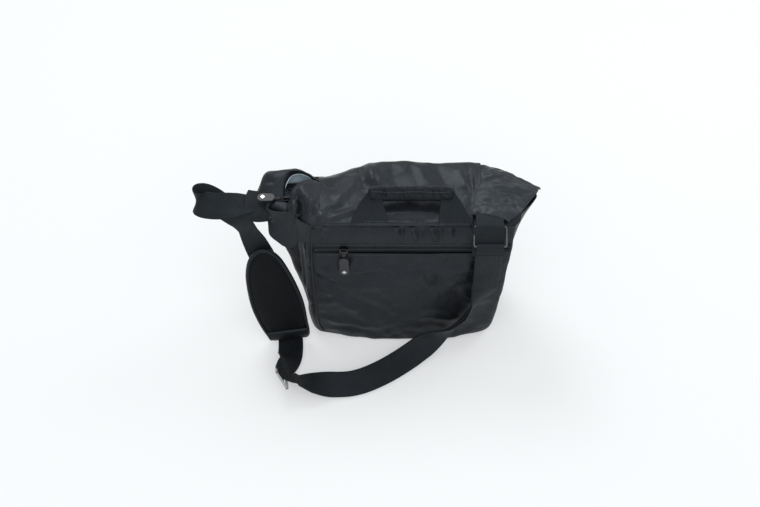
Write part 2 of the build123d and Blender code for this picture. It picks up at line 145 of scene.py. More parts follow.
def cloth(name, grid, thickness, closed=False):
    """A sheet with real thickness: the grid is its outer face, and its edges are closed."""
    rows, columns = grid.shape[:2]
    inner = grid - normals(grid, closed) * thickness
    points = np.concatenate([grid.reshape(-1, 3), inner.reshape(-1, 3)])
    steps_v = np.linalg.norm(np.diff(grid, axis=0), axis=2).mean(axis=1)
    steps_u = np.linalg.norm(np.diff(grid, axis=1), axis=2).mean(axis=0)
    v, u = np.concatenate([[0], np.cumsum(steps_v)]), np.concatenate([[0], np.cumsum(steps_u)])
    flat = np.stack(np.broadcast_arrays(u[None, :], v[:, None], 0.0), axis=2).reshape(-1, 3)
    weave = np.concatenate([flat, flat])
    index = lambda r, c, layer: layer * rows * columns + r * columns + c % columns
    faces = []
    last = columns if closed else columns - 1
    for r in range(rows - 1):
        for c in range(last):
            faces.append((index(r, c, 0), index(r, c + 1, 0), index(r + 1, c + 1, 0), index(r + 1, c, 0)))
            faces.append((index(r, c, 1), index(r + 1, c, 1), index(r + 1, c + 1, 1), index(r, c + 1, 1)))
    for c in range(last):
        faces.append((index(0, c, 1), index(0, c + 1, 1), index(0, c + 1, 0), index(0, c, 0)))
        r = rows - 1
        faces.append((index(r, c, 0), index(r, c + 1, 0), index(r, c + 1, 1), index(r, c, 1)))
    if not closed:
        for r in range(rows - 1):
            faces.append((index(r, 0, 0), index(r + 1, 0, 0), index(r + 1, 0, 1), index(r, 0, 1)))
            c = columns - 1
            faces.append((index(r, c, 1), index(r + 1, c, 1), index(r + 1, c, 0), index(r, c, 0)))
    return mesh_object(name, points, faces, weave)


def pipe_faces(rings, sides):
    """The faces of a pipe made of rings of points, with both ends capped."""
    faces = []
    for k in range(rings - 1):
        for s in range(sides):
            t = (s + 1) % sides
            faces.append((k * sides + s, k * sides + t, (k + 1) * sides + t, (k + 1) * sides + s))
    faces.append(tuple(range(sides - 1, -1, -1)))
    faces.append(tuple((rings - 1) * sides + s for s in range(sides)))
    return faces


def tube(name, path, radius, sides, up):
    """A round tube along a list of points in mm, closed at both ends."""
    path = np.asarray(path, float)
    way = np.gradient(path, axis=0)
    way /= np.linalg.norm(way, axis=1, keepdims=True)
    side = np.cross(way, np.asarray(up, float))
    side /= np.maximum(np.linalg.norm(side, axis=1, keepdims=True), 1e-9)
    lift = np.cross(side, way)
    points = []
    for k in range(len(path)):
        for s in range(sides):
            turn = 2 * math.pi * s / sides
            points.append(path[k] + radius * (math.cos(turn) * side[k] + math.sin(turn) * lift[k]))
    return mesh_object(name, points, pipe_faces(len(path), sides))


def stitches(name, path, body, dash=2.6, gap=1.3, radius=0.45, up=(0, 0, 1)):
    """A line of thread: short raised dashes along a path that already lies on the cloth."""
    path = np.asarray(path, float)
    run = np.concatenate([[0], np.cumsum(np.linalg.norm(np.diff(path, axis=0), axis=1))])
    at = lambda d: np.array([np.interp(d, run, path[:, k]) for k in range(3)])
    lift = np.asarray(Vector(up).normalized()[:])
    points, faces = [], []
    for begin in np.arange(0.4, run[-1] - dash, dash + gap):
        a, b = at(begin), at(begin + dash)
        way = (b - a) / max(np.linalg.norm(b - a), 1e-6)
        side = np.cross(way, lift)
        first = len(points)
        for centre, reach in ((a, 0.3), (a + (b - a) * 0.3, 1.0), (a + (b - a) * 0.7, 1.0), (b, 0.3)):
            points += [centre + side * radius * reach, centre + lift * radius * reach,
                       centre - side * radius * reach, centre - lift * radius * reach]
        for ring in range(3):
            for k in range(4):
                n = (k + 1) % 4
                base = first + ring * 4
                faces.append((base + k, base + n, base + 4 + n, base + 4 + k))
        faces += [(first + 3, first + 2, first + 1, first), tuple(first + 12 + k for k in range(4))]
    return dress(mesh_object(name, points, faces), body, THREAD)


def draped(grid, route, lift=0.25, count=60):
    """Points of a route given by x and y, laid on the upper side of a grid."""
    flat, ups = grid.reshape(-1, 3), normals(grid).reshape(-1, 3)
    ups = ups * np.sign(ups[:, 2:3] + 1e-9)
    laid = []
    for x, y in spline(route, count):
        near = np.argsort((flat[:, 0] - x) ** 2 + (flat[:, 1] - y) ** 2)[:4]
        laid.append((x, y, flat[near, 2].mean()) + ups[near[0]] * lift)
    return laid


def dress(piece, body, material, replaces=()):
    """Puts a finished piece on its body, with its material and the CAD nodes it stands for."""
    piece.data.materials.clear()
    piece.data.materials.append(material)
    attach(piece, body)
    if replaces:
        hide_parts(*replaces)
    return piece


# ------------ materials
def nodes_of(name, colour, rough, metallic=0.0, sheen=0.0, specular=0.5):
    material = bpy.data.materials.new(name)
    material.use_nodes = True
    tree = material.node_tree
    shader = tree.nodes["Principled BSDF"]
    shader.inputs["Base Color"].default_value = (*colour, 1)
    shader.inputs["Roughness"].default_value = rough
    shader.inputs["Metallic"].default_value = metallic
    shader.inputs["Sheen Weight"].default_value = sheen
    shader.inputs["Sheen Roughness"].default_value = 0.45
    shader.inputs["Specular IOR Level"].default_value = specular
    return material, tree, shader


def node(tree, kind, settings=None, **inputs):
    made = tree.nodes.new(kind)
    for key, value in (settings or {}).items():
        setattr(made, key, value)
    for key, value in inputs.items():
        name = key.replace("_", " ")
        if isinstance(value, bpy.types.NodeSocket):
            tree.links.new(value, made.inputs[name])
        else:
            made.inputs[name].default_value = value
    return made


def add_ramp(tree, shader, value, *stops):
    """Colours the shader from a value, between two stops given as (position, tint)."""
    ramp = node(tree, "ShaderNodeValToRGB", Fac=value)
    for element, (position, tint) in zip(ramp.color_ramp.elements, stops):
        element.position = position
        element.color = (*tint, 1)
    tree.links.new(ramp.outputs["Color"], shader.inputs["Base Color"])


def add_colour(tree, shader, low, high, scale, where):
    """Slow, cloudy colour variation between two tints."""
    cloud = node(tree, "ShaderNodeTexNoise", Vector=where, Scale=scale, Detail=4.0)
    add_ramp(tree, shader, cloud.outputs["Fac"], (0.32, low), (0.7, high))


def vary_roughness(tree, shader, value, low, high):
    spread = node(tree, "ShaderNodeMapRange", Value=value, To_Min=low, To_Max=high)
    tree.links.new(spread.outputs["Result"], shader.inputs["Roughness"])


def add_bump(tree, shader, height, distance, strength, before=None):
    made = node(tree, "ShaderNodeBump", Height=height, Distance=distance, Strength=strength)
    if before is not None:
        tree.links.new(before.outputs["Normal"], made.inputs["Normal"])
    tree.links.new(made.outputs["Normal"], shader.inputs["Normal"])
    return made


def fabric(name, low, high, rough, thread, sheen, crinkle, specular=0.5):
    """Plain-woven nylon: fine threads both ways, small crinkles and cloudy tone."""
    material, tree, shader = nodes_of(name, low, rough, sheen=sheen, specular=specular)
    shader.inputs["Specular Tint"].default_value = (0.80, 0.91, 1.0, 1)
    where = node(tree, "ShaderNodeTexCoord").outputs["Object"]
    add_colour(tree, shader, low, high, 34.0, where)
    weft = node(tree, "ShaderNodeTexWave", {"bands_direction": "X"}, Vector=where, Scale=1 / thread)
    warp = node(tree, "ShaderNodeTexWave", {"bands_direction": "Z"}, Vector=where, Scale=1 / thread)
    both = node(tree, "ShaderNodeMath", {"operation": "MULTIPLY"})
    tree.links.new(weft.outputs["Fac"], both.inputs[0])
    tree.links.new(warp.outputs["Fac"], both.inputs[1])
    threads = add_bump(tree, shader, both.outputs["Value"], 0.00012, 0.35)
    small = node(tree, "ShaderNodeTexNoise", Vector=where, Scale=95.0, Detail=5.0, Roughness=0.55)
    add_bump(tree, shader, small.outputs["Fac"], 0.0012, crinkle, threads)
    gloss = node(tree, "ShaderNodeTexNoise", Vector=where, Scale=24.0, Detail=3.0)
    vary_roughness(tree, shader, gloss.outputs["Fac"], rough - 0.09, rough + 0.09)
    return material


def ribbed(name, low, high, rough, rib, sheen):
    """Woven webbing: ribs along its length with a finer pick across them."""
    material, tree, shader = nodes_of(name, low, rough, sheen=sheen, specular=0.28)
    shader.inputs["Specular Tint"].default_value = (0.78, 0.92, 1.0, 1)
    weave = node(tree, "ShaderNodeAttribute", {"attribute_name": "weave"}).outputs["Vector"]
    where = node(tree, "ShaderNodeTexCoord").outputs["Object"]
    add_colour(tree, shader, low, high, 60.0, where)
    ribs = node(tree, "ShaderNodeTexWave", {"bands_direction": "X"}, Vector=weave, Scale=math.tau / rib / 20)
    picks = node(tree, "ShaderNodeTexWave", {"bands_direction": "Y"}, Vector=weave, Scale=math.tau / rib / 12)
    ribbing = add_bump(tree, shader, ribs.outputs["Fac"], 0.0005, 0.8)
    add_bump(tree, shader, picks.outputs["Fac"], 0.0002, 0.5, ribbing)
    return material


def metal(name, colour, rough):
    material, tree, shader = nodes_of(name, colour, rough, metallic=1.0)
    where = node(tree, "ShaderNodeTexCoord").outputs["Object"]
    wear = node(tree, "ShaderNodeTexNoise", Vector=where, Scale=420.0, Detail=5.0)
    vary_roughness(tree, shader, wear.outputs["Fac"], rough - 0.1, rough + 0.16)
    add_colour(tree, shader, tuple(c * 0.75 for c in colour), colour, 300.0, where)
    add_bump(tree, shader, wear.outputs["Fac"], 0.0002, 0.25)
    return material


def honeycomb(name):
    """Open mesh fabric: rounded holes in offset rows over a dark backing."""
    material, tree, shader = nodes_of(name, (0.002, 0.0022, 0.003), 0.6, specular=0.12)
    weave = node(tree, "ShaderNodeAttribute", {"attribute_name": "weave"}).outputs["Vector"]
    cells = node(tree, "ShaderNodeTexVoronoi", {"feature": "F1"}, Vector=weave, Scale=290.0, Randomness=0.2)
    add_ramp(tree, shader, cells.outputs["Distance"], (0.18, (0.0003, 0.0003, 0.0005)),
             (0.5, (0.0030, 0.0036, 0.0052)))
    add_bump(tree, shader, cells.outputs["Distance"], 0.0009, 0.9)
    return material


def plain(name, colour, rough, grain, sheen=0.0):
    """Moulded or leathery pieces with a fine grain."""
    material, tree, shader = nodes_of(name, colour, rough, sheen=sheen)
    where = node(tree, "ShaderNodeTexCoord").outputs["Object"]
    add_colour(tree, shader, tuple(c * 0.8 for c in colour), tuple(c * 1.25 for c in colour), 180.0, where)
    cells = node(tree, "ShaderNodeTexVoronoi", Vector=where, Scale=grain)
    add_bump(tree, shader, cells.outputs["Distance"], 0.0003, 0.3)
    return material


SHELL = fabric("shell_nylon", (0.0050, 0.0056, 0.0072), (0.0088, 0.0096, 0.0118),
               0.44, 0.0009, 0.02, 0.5, 0.30)
FLAP = fabric("flap_nylon", (0.0056, 0.0062, 0.0078), (0.0096, 0.0104, 0.0126),
              0.36, 0.0009, 0.02, 0.35, 0.30)
# Painted light: a lighter copy of the shell nylon, worn by the right ear so that it looks brighter.
LIT_EAR_NYLON = fabric("lit_ear_nylon", (0.0066, 0.0073, 0.0090), (0.0120, 0.0130, 0.0154), 0.42, 0.0009, 0.02, 0.6, 0.40)
LINING = fabric("lining_cloth", (0.42, 0.52, 0.60), (0.58, 0.68, 0.75), 0.62, 0.0011, 0.1, 0.3)
WEBBING = ribbed("webbing", (0.0034, 0.0040, 0.0054), (0.0070, 0.0078, 0.0096), 0.62, 0.0022, 0.02)
TAPE = ribbed("zip_tape", (0.0030, 0.0033, 0.0042), (0.0054, 0.0058, 0.0070), 0.6, 0.0012, 0.02)
GRIP = fabric("grip_nylon", (0.0036, 0.0040, 0.0052), (0.0064, 0.0070, 0.0086), 0.44, 0.0009, 0.02, 0.7, 0.2)
PATCH = fabric("patch_nylon", (0.0054, 0.0060, 0.0074), (0.0100, 0.0108, 0.0128),
               0.54, 0.0016, 0.03, 0.7, 0.32)
PAD = fabric("pad_nylon", (0.0024, 0.0027, 0.0036), (0.0044, 0.0048, 0.0060), 0.42, 0.0009, 0.01, 0.3, 0.2)
MESH = honeycomb("pad_mesh")
PIPING = fabric("pad_piping", (0.0028, 0.0031, 0.0040), (0.0052, 0.0056, 0.0068),
                0.38, 0.0008, 0.01, 0.2, 0.26)
THREAD = plain("thread", (0.045, 0.049, 0.056), 0.5, 4000.0, 0.05)
NICKEL = metal("ring_metal", (0.085, 0.085, 0.09), 0.24)
GLIDE = metal("glide_metal", (0.26, 0.26, 0.27), 0.26)
GUNMETAL = metal("zip_metal", (0.07, 0.07, 0.075), 0.34)
# Painted shade: a darker copy of the zip metal, worn by the main slider and its link.
SHADED_ZIP_METAL = metal("shaded_zip_metal", (0.022, 0.022, 0.025), 0.4)
BRIGHT = metal("rivet_metal", (0.80, 0.80, 0.80), 0.3)
COIL = plain("zip_teeth", (0.003, 0.0032, 0.004), 0.7, 2600.0)
TAB = plain("pull_tab", (0.013, 0.0135, 0.015), 0.42, 1500.0)

# ------------ shoulder strap
ROUTE = [
    ((111, -85.5, 206.5), (0, -1, 0)),
    ((111.5, -83, 188), (0, -1, 0)),
    ((112.5, -79, 158), (0, -1, 0)),
    ((112, -78, 128), (0.2, -1, 0)),
    ((105, -81, 102), (0.7, -0.65, -0.25)),
    ((92, -85, 80), (0.8, -0.45, -0.4)),
    ((75, -87, 57), (0.7, -0.58, -0.34)),
    ((54, -88, 36), (0.42, -0.82, 0.02)),
    ((31, -96, 22), (0.05, -0.75, 0.55)),
    ((4, -114, 14), (-0.05, -0.65, 0.75)),
    ((-30, -138, 13), (-0.05, -0.6, 0.8)),
    ((-66, -156, 13), (0, -0.6, 0.8)),
    ((-98, -160, 15), (0, -0.55, 0.8)),
    ((-126, -158, 19), (0, 0.1, 1)),
    ((-149, -157, 24), (0, 0.6, 0.8)),
    ((-165, -151, 27), (0.4, 0.5, 0.8)),
    ((-168, -133, 22), (0.9, 0, 0.4)),
    ((-164, -115, 13), (0.5, 0, 0.9)),
    ((-163, -95, 5), (0, 0.2, 1)),
    ((-164, -75, 3), (0, 0, 1)),
    ((-166, -60.5, 7.5), (0, -0.8, 0.6)),
    ((-171.5, -57, 34), (0, -1, 0.15)),
    ((-178.5, -50, 79), (0, -1, 0.15)),
    ((-187.5, -43.5, 130), (0, -1, 0.15)),
    ((-199, -38, 158), (0.1, -1, 0.15)),
    ((-206, -34, 178), (-0.15, -1, 0.15)),
    ((-213, -30, 195), (-0.5, -0.85, 0.2)),
    ((-223, -25, 209), (-0.5, -0.8, 0.35)),
    ((-237, -17, 219), (-0.3, -0.8, 0.5)),
    ((-252, -10, 227), (0, -0.85, 0.5)),
    ((-265, -6, 235), (0.05, -0.85, 0.5)),
    ((-276, -8, 240.5), (0.4, -0.8, 0.4)),
    ((-281, -14.5, 241), (1, -0.1, 0.1)),
    ((-276, -21, 238), (0.5, 0.6, -0.6)),
    ((-264, -23, 235.5), (0, 0.7, -0.7)),
    ((-248, -22, 233.5), (0, 0.7, -0.7)),
    ((-233, -18, 231.5), (0, 0.5, -0.85)),
    ((-220, -12, 229), (0, 0.2, -1)),
    ((-209, -7, 224.5), (0, 0, -1)),
]
# The second layer follows the first points of the route, this far under the first layer.
DOUBLED = 15
LAYER_GAP = 2.6
STRAP_W, STRAP_T = 36.0, 1.5


def smooth_path(points):
    """The route's NURBS line, as points in mm."""
    curve = bpy.data.curves.new("route", "CURVE")
    curve.dimensions = "3D"
    curve.resolution_u = 16
    line = curve.splines.new("NURBS")
    line.points.add(len(points) - 1)
    for control, point in zip(line.points, points):
        control.co = (*(np.asarray(point) * MM), 1)
    line.order_u = 3
    line.use_endpoint_u = True
    holder = add_object("route", curve)
    depsgraph = bpy.context.evaluated_depsgraph_get()
    mesh = bpy.data.meshes.new_from_object(holder.evaluated_get(depsgraph))
    path = np.array([v.co[:] for v in mesh.vertices]) / MM
    bpy.data.objects.remove(holder)
    bpy.data.curves.remove(curve)
    bpy.data.meshes.remove(mesh)
    return path


def ribbon(name, points, looks):
    """Flat webbing along the route, its face turned as the looks say."""
    path = smooth_path(points)
    spans = len(points) - 2
    t = np.linspace(0, spans, len(path))
    place = np.where(t < 0.5, 2 * t, np.where(t > spans - 0.5, spans + 1 - 2 * (spans - t), t + 0.5))
    looks = np.array([Vector(look).normalized()[:] for look in looks])
    face = np.stack([np.interp(place, np.arange(len(looks)), looks[:, k]) for k in range(3)], axis=1)
    way = np.gradient(path, axis=0)
    way /= np.linalg.norm(way, axis=1, keepdims=True)
    side = np.cross(way, face)
    side /= np.linalg.norm(side, axis=1, keepdims=True)
    face = np.cross(side, way)
    run = np.concatenate([[0], np.cumsum(np.linalg.norm(np.diff(path, axis=0), axis=1))])
    half = [(-1, 0), (-0.985, 0.42), (-0.93, 0.5), (-0.5, 0.5), (0, 0.5), (0.5, 0.5), (0.93, 0.5),
            (0.985, 0.42)]
    profile = half + [(-a, -b) for a, b in half]
    rings, weave = [], []
    for a, b in profile:
        cup = 0.35 * (1 - a * a) * np.sin(run / 23.0)
        rings.append(path + side * (a * STRAP_W / 2) + face * (b * STRAP_T + cup)[:, None])
        weave.append(np.stack([np.full(len(path), a * STRAP_W / 2), run, np.zeros(len(path))], axis=1))
    points, weave = (np.stack(parts, axis=1).reshape(-1, 3) for parts in (rings, weave))
    piece = mesh_object(name, points, pipe_faces(len(path), len(profile)), weave)
    return piece, path


strap, strap_path = ribbon("strap_long", [p for p, _ in ROUTE], [look for _, look in ROUTE])
dress(strap, "bag", WEBBING, ["strap_webbing"])
under = [Vector(p) - Vector(look).normalized() * LAYER_GAP for p, look in ROUTE[:DOUBLED]]
second, second_path = ribbon("strap_second_layer", [p[:] for p in under],
                             [look for _, look in ROUTE[:DOUBLED]])
dress(second, "bag", WEBBING, ["strap_return"])


# ------------ body shell
# Corners of the body going round, one row for each height: rear left, the near left fold and the
# tuck behind it, the flaring left gusset, front, right gusset with its fold, rear right.
SHELL_ROWS = {
    3: [(-112, -56), (-124, -52), (-129, -44), (-126, -37), (-130, -24), (-131, 2), (-128, 30), (-115, 50),
        (-90, 56), (-35, 58), (35, 58), (90, 56), (118, 50), (132, 28), (137, 2), (131, -24), (127, -44),
        (112, -56), (40, -66), (-40, -67)],
    30: [(-119, -57), (-130, -54), (-136, -45), (-131, -37), (-138, -24), (-139, 2), (-136, 32), (-122, 52),
         (-96, 59), (-35, 60), (35, 60), (96, 59), (126, 52), (144, 28), (149, 2), (140, -24), (134, -48),
         (122, -57), (40, -64), (-40, -65)],
    80: [(-121, -58), (-132, -55), (-139, -46), (-132, -37), (-147, -26), (-147, 2), (-144, 34), (-128, 54),
         (-98, 60), (-35, 61), (35, 61), (98, 60), (130, 54), (149, 28), (152, 2), (144, -24), (139, -49),
         (128, -58), (40, -58), (-40, -58)],
    130: [(-122, -58), (-133, -55), (-142, -46), (-134, -36), (-158, -28), (-155, 2), (-152, 36), (-134, 56),
          (-98, 60), (-35, 61), (35, 61), (98, 60), (132, 55), (152, 28), (154, 2), (148, -25), (142, -49),
          (132, -58), (40, -58), (-40, -58)],
    180: [(-121, -58), (-133, -55), (-144, -46), (-137, -35), (-172, -28), (-163, 2), (-162, 38),
          (-138, 57), (-98, 60), (-35, 60.5), (35, 60.5), (98, 60), (134, 56), (158, 28), (160, 2),
          (152, -26), (144, -49), (135, -58), (40, -58), (-40, -58)],
    214: [(-120, -57.5), (-132, -54), (-145, -45), (-141, -34), (-181, -27), (-171, 4), (-170, 39),
          (-141, 57), (-98, 59.5), (-35, 60), (35, 60), (98, 59.5), (136, 55), (166, 26), (172, 2),
          (158, -26), (146, -48), (137, -57), (40, -57.5), (-40, -57.5)],
    231: [(-119, -57), (-131, -53), (-145, -44), (-146, -35), (-184, -26), (-174, 5), (-173, 39),
          (-142, 57), (-98, 59), (-35, 59.5), (35, 59.5), (98, 59), (136, 54), (168, 25), (181, 2),
          (161, -25), (147, -46), (138, -56), (40, -57), (-40, -57)],
}
shell_rows = [[(x * 0.3, y * 0.3, 1.6) for x, y in SHELL_ROWS[3]],
              [(x * 0.86, y * 0.88, 0.8) for x, y in SHELL_ROWS[3]]]
shell_rows += [[(x, y, z) for x, y in row] for z, row in SHELL_ROWS.items()]
shell_grid = surface(shell_rows, 190, 420, closed=True)
# The rim waves a little, and its rear side slumps toward the left end.
shell_grid[..., 2] += 1.5 * np.sin(shell_grid[..., 0] / 37) * np.clip((shell_grid[..., 2] - 180) / 50, 0, 1)
slump_line = 275 - 1.11 * shell_grid[..., 1] + 30 * np.clip((shell_grid[..., 0] + 105) / 90, 0, 4)
shell_grid[..., 2] = np.minimum(shell_grid[..., 2], slump_line)
FLOOR_GAP = 0.4
SHELL_FOLDS = [
    ((-137, -50, 40), (-140, -50, 200), 3.0, 2.4),
    ((-134, -54, 205), (-128, -57, 160), 4.0, -2.6),
    ((-141, -47, 120), (-134, -53, 70), 4.0, -2.4),
    ((-150, -24, 205), (-138, -32, 120), 8.0, -3.0),
    ((-176, -10, 215), (-150, -18, 110), 9.0, 3.0),
    ((-168, 20, 210), (-146, 8, 90), 12.0, -4.0),
    ((-160, 45, 190), (-138, 40, 60), 12.0, 3.5),
    ((-120, 61, 190), (-60, 62, 60), 16.0, 2.2),
    ((60, 62, 200), (110, 61, 70), 16.0, 2.2),
    ((-20, 62, 100), (70, 62, 70), 14.0, -1.8),
    ((168, 14, 215), (150, 14, 110), 9.0, -4.0),
    ((160, -12, 215), (148, -12, 90), 9.0, 3.0),
    ((150, 36, 180), (142, 34, 50), 10.0, 3.0),
]
shell_grid = wrinkled(shell_grid, SHELL_FOLDS, [(46, 2.2, 3.1), (17, 0.7, 9.4)], closed=True,
                      keep=np.clip((shell_grid[..., 2] - 3) / 18, 0, 1))
shell_grid[..., 2] = np.maximum(shell_grid[..., 2], FLOOR_GAP)
body_shell = cloth("body_shell", shell_grid[:, ::-1], 1.6, closed=True)
dress(body_shell, "bag", SHELL,
      ["front_panel", "bottom_panel", "left_gusset", "right_gusset"])

# ------------ pocket face
POCKET_GRID = (150, 230)


def foot_row(left, right, half, y, bulge, z, rise):
    """A row near the rounded lower edge: furthest out at its middle, raised at both corners."""
    row = []
    for x in np.linspace(left, right, 9):
        across = (x - 2) / half
        row.append((x, y - bulge * (1 - across ** 2), z + rise * abs(across) ** 5))
    return row


lower_rows = [foot_row(-104, 108, 106, -59.0, 9, 2.0, 14), foot_row(-115, 119, 118, -61.5, 10, 7.0, 12)]
for z, left, right, y in ((26, -123, 127, -62), (60, -124, 129, -63.5), (100, -125, 131, -64),
                          (130, -125.5, 132.5, -63), (142, -125.5, 133, -62.5), (154, -125.5, 134, -62),
                          (166, -125.5, 134.5, -61.4), (175, -125.5, 135, -61), (183, -125, 135.5, -60.6)):
    span = np.linspace(left, right, 9)
    bow = 1 - ((span - (left + right) / 2) / ((right - left) / 2)) ** 2
    row = []
    for x, b in zip(span, bow):
        ledge = 3 * math.exp(-((z - 142) / 16) ** 2) * min(max((x + 72) / 40, 0), 1)
        row.append((x, y - b * (2.2 + 8 * max(0, 1 - z / 90) + ledge), z))
    lower_rows.append(row)
pocket_grid = surface(lower_rows, *POCKET_GRID)
POCKET_FOLDS = [
    ((-121, -62, 152), (-96, -64, 133), 4.2, 4.9),
    ((-124, -62, 143), (-103, -64, 126), 3.4, -4.9),
    ((-118, -62, 122), (-100, -64, 96), 5.0, 2.9),
    ((-66, -64, 150), (-30, -66, 152), 7.0, 2.4),
    ((-30, -66, 152), (60, -66, 150), 8.0, 3.0),
    ((60, -66, 150), (124, -63, 156), 7.0, 3.0),
    ((-70, -66, 136), (-10, -66, 148), 8.0, -4.1),
    ((-10, -66, 148), (58, -66, 154), 8.0, -3.5),
    ((20, -66, 158), (34, -66, 112), 6.0, 3.5),
    ((44, -66, 156), (52, -66, 108), 7.0, -3.8),
    ((112, -64, 178), (114, -64, 126), 5.0, 3.8),
    ((98, -64, 172), (96, -64, 134), 5.0, -3.5),
    ((92, -65, 150), (118, -64, 96), 7.0, -3.8),
    ((70, -66, 120), (112, -65, 84), 7.0, 3.5),
    ((-116, -62, 46), (-40, -65, 30), 6.0, 3.2),
    ((-112, -62, 31), (-30, -65, 19), 5.0, -3.2),
    ((-100, -62, 22), (60, -65, 14), 5.0, 2.3),
    ((-70, -66, 180), (-88, -65, 150), 5.0, -3.8),
    ((-58, -65, 181), (-50, -66, 148), 5.0, 3.5),
    ((-104, -65, 181), (-96, -65, 158), 4.0, 2.6),
    ((10, -66, 60), (90, -66, 48), 9.0, 2.9),
    ((-60, -66, 84), (-30, -66, 60), 9.0, -2.9),
    ((-100, -66, 96), (-60, -66, 60), 10.0, 2.9),
]
from_row_ends, from_side_ends = (np.minimum(np.arange(n), np.arange(n - 1, -1, -1)) for n in POCKET_GRID)
pocket_keep = np.clip(np.minimum(1.6 * from_row_ends[:, None], 2.2 * from_side_ends) / 14.0, 0, 1)
pocket_grid = wrinkled(pocket_grid, POCKET_FOLDS, [(38, 2.6, 1.7), (15, 1.3, 5.5), (6, 0.25, 8.1)],
                       keep=pocket_keep)
pocket_lower = cloth("pocket_face", pocket_grid, 1.2)
dress(pocket_lower, "bag", SHELL, ["pocket_panel_lower"])

upper_rows = []
for z, left, right, y in ((197, -124.5, 136, -60.8), (203, -124, 136.5, -61.6), (214, -123, 137, -62.4),
                          (224, -122, 137.5, -61), (231, -121, 138, -58.2)):
    upper_rows.append([(x, y, z) for x in np.linspace(left, right, 12)])
YOKE_GRID = (46, 300)
yoke_grid = surface(upper_rows, *YOKE_GRID)
YOKE_FOLDS = []
for x, lean, width, height in (
        (-108, 9, 4.5, 2.0), (-78, -7, 5, -2.2), (-50, 10, 4, 1.8), (-14, 13, 4, 3.6), (-3, -3, 3.4, -3.0),
        (9, 10, 3.6, 3.8), (24, -6, 4.4, -3.2), (33, 12, 3.8, 3.8), (47, 3, 3.6, -3.0), (58, 9, 3.8, 2.6),
        (70, -8, 4, -2.4), (90, 8, 4.5, 1.8)):
    YOKE_FOLDS.append(((x, -59, 232), (x + lean, -62, 203), width, 1.25 * height))
yoke_keep = np.clip((np.arange(YOKE_GRID[0]) - 5) / 30.0, 0.04, 1)[:, None]
yoke_grid = wrinkled(yoke_grid, YOKE_FOLDS, [(26, 1.2, 2.2), (9, 0.6, 4.4)], keep=yoke_keep)
pocket_upper = cloth("pocket_yoke", yoke_grid, 1.2)
dress(pocket_upper, "bag", SHELL, ["pocket_panel_upper"])
seam_path = spline([(-115, -64, 16), (-122, -63.5, 32), (-124, -64.5, 70), (-125.5, -64.5, 130),
                    (-125.5, -62.5, 182), (-124.5, -62, 200), (-122, -60, 229)], 120)
dress(tube("pocket_left_seam", seam_path, 1.1, 8, (0, -1, 0)), "bag", SHELL)

# ------------ flap
flap_rows = []
for y, z, left, right, sag in ((-57.5, 229.5, -107, 90, 0), (-55, 233.5, -109, 90.5, 0),
                               (-44, 236.5, -112, 91.5, 0), (-24, 239.5, -113.5, 94.5, 0),
                               (0, 241, -115, 100.5, 0), (24, 242.5, -117, 105, 0.1),
                               (40, 244, -117, 106, 0.5), (50, 244, -116, 106, 0.84),
                               (57, 241, -114, 106, 1.05), (61.5, 232, -111, 106, 1.1),
                               (62.5, 205, -107, 104, 0.8), (62.5, 168, -105, 101, 0.3),
                               (62.5, 140, -105, 98, 0.1), (62, 122, -105, 95, 0)):
    row = []
    for x in np.linspace(left, right, 13):
        slump = 31 * sag * min(max((-x - 15) / 95, 0), 1.1) ** 1.65
        row.append((x, y, z - slump))
    flap_rows.append(row)
FLAP_ROWS = 230
flap_grid = surface(flap_rows, FLAP_ROWS, 230)
FLAP_FOLDS = [
    ((-48, 54, 240), (-40, 6, 243), 7.0, 4.0),
    ((-62, 52, 238), (-54, 2, 243), 7.0, -3.6),
    ((-96, -22, 240), (-62, 24, 243), 8.0, 3.4),
    ((-104, 4, 241), (-78, 36, 238), 7.0, -3.0),
    ((-98, -46, 237), (-64, -32, 239), 4.5, 2.6),
    ((-100, -34, 238), (-80, -26, 240), 4.0, -2.0),
    ((-20, 50, 244), (-6, 0, 242), 10.0, -2.4),
    ((16, 54, 244), (34, 4, 242), 9.0, 2.8),
    ((44, 50, 244), (58, 6, 242), 8.0, -2.4),
    ((74, 50, 244), (86, -10, 241), 8.0, 3.2),
    ((88, 44, 244), (92, -6, 241), 4.5, -2.8),
    ((101, 44, 243), (93, -40, 239), 3.5, 2.2),
    ((-30, -50, 235), (44, -48, 236), 4.0, -1.6),
    ((-20, -40, 238), (36, -38, 238), 5.0, 1.6),
    ((-40, 66, 220), (-60, 66, 150), 14.0, 2.0),
    ((50, 66, 220), (30, 66, 140), 14.0, 2.0),
]
flap_keep = np.clip(np.arange(FLAP_ROWS) / 12.0, 0, 1)[:, None]
flap_grid = wrinkled(flap_grid, FLAP_FOLDS, [(46, 3.4, 7.3), (19, 1.1, 2.9), (8, 0.25, 6.6)], keep=flap_keep)
flap = cloth("flap_cloth", flap_grid, 1.4)
flap.data.materials.append(FLAP)
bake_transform(flap)
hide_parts("flap_top", "flap_drop")

